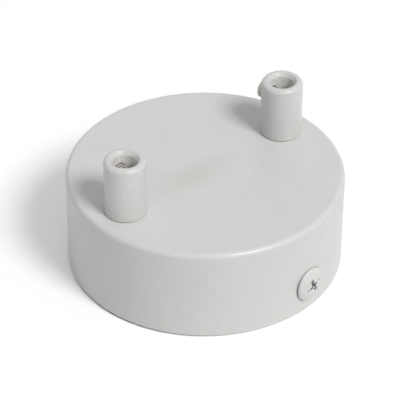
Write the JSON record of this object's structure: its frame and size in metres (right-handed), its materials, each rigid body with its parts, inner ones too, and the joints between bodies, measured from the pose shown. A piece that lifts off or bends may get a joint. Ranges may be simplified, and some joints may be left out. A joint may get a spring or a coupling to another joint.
{
  "type": "electrical ceiling rose",
  "caption": "Round steel ceiling rose on a bent bracket, with turned cord grips over its outlets, clamp screws, side screws and a terminal block inside.",
  "frame": {"origin": "centre of the open rim, in the plane that meets the ceiling", "axes": "+Z from the ceiling side to the cord side, X along the bracket and both side screws"},
  "size_m": [0.0842, 0.08, 0.0461],
  "materials": {
    "canopy_paint": "light grey satin powder coat with a fine texture",
    "nickel_steel": "dull nickel-plated steel",
    "zinc_steel": "bright zinc-plated steel",
    "block_plastic": "moulded white plastic",
    "brass": "bare turned brass"
  },
  "bodies": {
    "rose": {"canopy_shell": "canopy_paint", "left_cord_grip": "canopy_paint", "right_cord_grip": "canopy_paint", "left_nipple": "zinc_steel", "right_nipple": "zinc_steel", "left_lock_washer": "zinc_steel", "right_lock_washer": "zinc_steel", "left_lock_nut": "zinc_steel", "right_lock_nut": "zinc_steel", "mounting_bracket": "zinc_steel", "terminal_housing": "block_plastic", "live_insert": "brass", "neutral_insert": "brass", "earth_insert": "brass", "block_screw_outer": "zinc_steel", "block_screw_inner": "zinc_steel", "earth_washer": "zinc_steel"},
    "front_side": {"front_side_screw": "canopy_paint"},
    "rear_side": {"rear_side_screw": "canopy_paint"},
    "earth_bond": {"earth_screw": "zinc_steel"},
    "left_clamp": {"left_clamp_screw": "nickel_steel"},
    "right_clamp": {"right_clamp_screw": "nickel_steel"},
    "live_supply": {"live_supply_screw": "zinc_steel"},
    "live_lamp": {"live_lamp_screw": "zinc_steel"},
    "neutral_supply": {"neutral_supply_screw": "zinc_steel"},
    "neutral_lamp": {"neutral_lamp_screw": "zinc_steel"},
    "earth_supply": {"earth_supply_screw": "zinc_steel"},
    "earth_lamp": {"earth_lamp_screw": "zinc_steel"}
  },
  "joints": [
    {"name": "front_side_travel", "type": "slide", "parent": "rose", "child": "front_side", "axis": [1, 0, 0], "range_m": [0, 0.0042]},
    {"name": "rear_side_travel", "type": "slide", "parent": "rose", "child": "rear_side", "axis": [-1, 0, 0], "range_m": [0, 0.0042]},
    {"name": "earth_bond_travel", "type": "slide", "parent": "rose", "child": "earth_bond", "axis": [0, 0, 1], "range_m": [0, 0.003]},
    {"name": "left_clamp_travel", "type": "slide", "parent": "rose", "child": "left_clamp", "axis": [-0.9511, 0.309, 0], "range_m": [0, 0.0056]},
    {"name": "right_clamp_travel", "type": "slide", "parent": "rose", "child": "right_clamp", "axis": [-0.9976, -0.0698, 0], "range_m": [0, 0.0056]},
    {"name": "live_supply_travel", "type": "slide", "parent": "rose", "child": "live_supply", "axis": [0, 0, -1], "range_m": [0, 0.0024]},
    {"name": "live_lamp_travel", "type": "slide", "parent": "rose", "child": "live_lamp", "axis": [0, 0, -1], "range_m": [0, 0.0024]},
    {"name": "neutral_supply_travel", "type": "slide", "parent": "rose", "child": "neutral_supply", "axis": [0, 0, -1], "range_m": [0, 0.0024]},
    {"name": "neutral_lamp_travel", "type": "slide", "parent": "rose", "child": "neutral_lamp", "axis": [0, 0, -1], "range_m": [0, 0.0024]},
    {"name": "earth_supply_travel", "type": "slide", "parent": "rose", "child": "earth_supply", "axis": [0, 0, -1], "range_m": [0, 0.0024]},
    {"name": "earth_lamp_travel", "type": "slide", "parent": "rose", "child": "earth_lamp", "axis": [0, 0, -1], "range_m": [0, 0.0024]}
  ]
}
